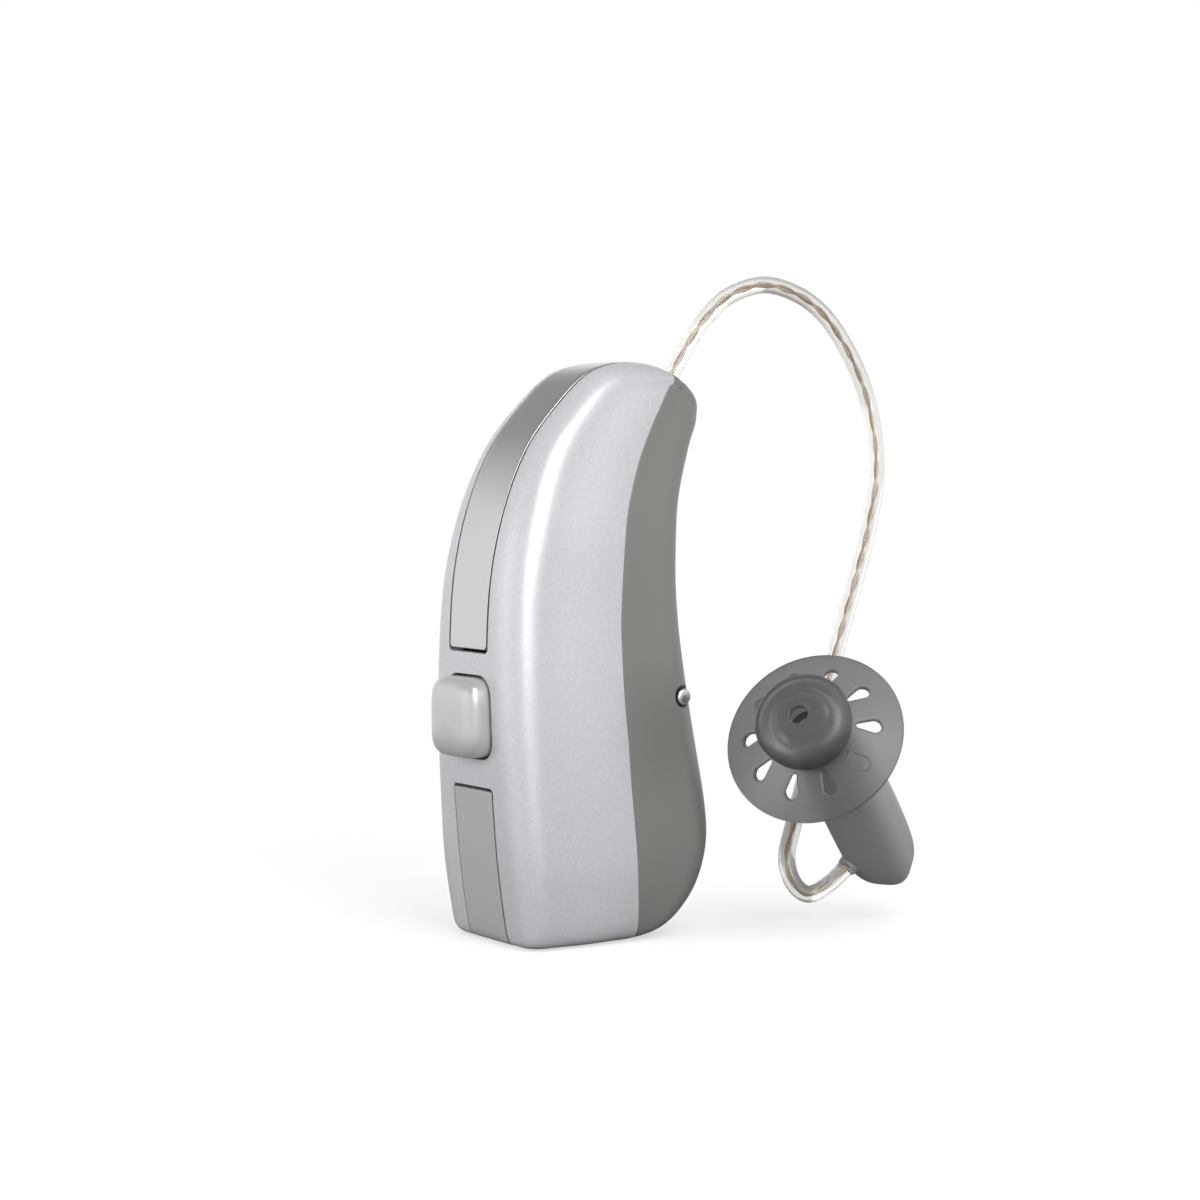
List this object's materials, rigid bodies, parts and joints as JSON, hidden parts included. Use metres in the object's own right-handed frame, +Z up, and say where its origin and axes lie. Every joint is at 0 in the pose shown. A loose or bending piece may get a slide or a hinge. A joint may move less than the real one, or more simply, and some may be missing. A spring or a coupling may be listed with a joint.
{
  "type": "behind the ear hearing aid",
  "caption": "Behind-the-ear hearing aid with a curved body, push button, hinged battery drawer, clear ear wire, in-ear receiver and vented soft dome.",
  "frame": {"origin": "ear rest, the deepest point of the body's hollow front in its middle plane", "axes": "+X forward toward the ear wire's loop, +Z up along the body, Y across the thickness with the ear canal side toward -Y"},
  "size_m": [0.0279, 0.0182, 0.0349],
  "materials": {
    "silver_shell": "satin metallic lacquer on moulded plastic",
    "grey_frame": "satin moulded plastic",
    "cover_metallic": "satin metallic lacquer",
    "drawer_grey": "satin moulded plastic",
    "button_silver": "metallised plastic",
    "steel": "bright",
    "spring_gold": "gold plated",
    "copper_foil": "bare copper",
    "board_green": "solder mask",
    "chip_black": "moulded epoxy",
    "carrier_black": "moulded",
    "seal_rubber": "soft",
    "clear_tube": "clear tube",
    "wire_lacquer": "lacquered litz wire",
    "receiver_grey": "satin moulded plastic",
    "wax_white": "moulded",
    "dome_silicone": "translucent smoke silicone"
  },
  "bodies": {
    "housing": {"outer_shell": "silver_shell", "front_frame": "grey_frame", "mic_cover": "cover_metallic", "drawer_pin": "steel", "button_seal": "seal_rubber", "switch_base": "chip_black", "switch_dome": "steel", "circuit_board": "board_green", "signal_chip": "chip_black", "radio_chip": "chip_black", "capacitor": "spring_gold", "chassis": "carrier_black", "telecoil_core": "steel", "telecoil_winding": "wire_lacquer", "antenna": "copper_foil", "front_microphone": "steel", "rear_microphone": "steel", "front_mic_gasket": "seal_rubber", "rear_mic_gasket": "seal_rubber", "front_mic_screen": "steel", "rear_mic_screen": "steel", "contact_plus": "spring_gold", "contact_minus": "spring_gold", "plug_socket": "carrier_black", "ear_plug": "receiver_grey", "plug_pins": "spring_gold", "wire_tube": "clear_tube", "wire_core": "wire_lacquer", "wire_boot": "receiver_grey", "receiver_case": "receiver_grey", "receiver_motor": "steel", "sound_spout": "receiver_grey", "wax_guard": "wax_white", "flex_strip": "copper_foil"},
    "battery_drawer": {"battery_drawer": "drawer_grey", "cell_can": "steel", "cell_grommet": "seal_rubber", "cell_lid": "steel"},
    "push_button": {"push_button": "button_silver"},
    "ear_dome": {"ear_dome": "dome_silicone"}
  },
  "joints": [
    {"name": "drawer_hinge", "type": "hinge", "parent": "housing", "child": "battery_drawer", "pos_m": [-0.00028, 0, -0.00592], "axis": [0, -1, 0], "range_deg": [0, 70]},
    {"name": "button_press", "type": "slide", "parent": "housing", "child": "push_button", "axis": [1, 0, 0], "range_m": [0, 0.0003], "stiffness_N_per_m": 400},
    {"name": "dome_pull_off", "type": "slide", "parent": "housing", "child": "ear_dome", "axis": [-0.7335, -0.4764, 0.4848], "range_m": [0, 0.0035]}
  ]
}
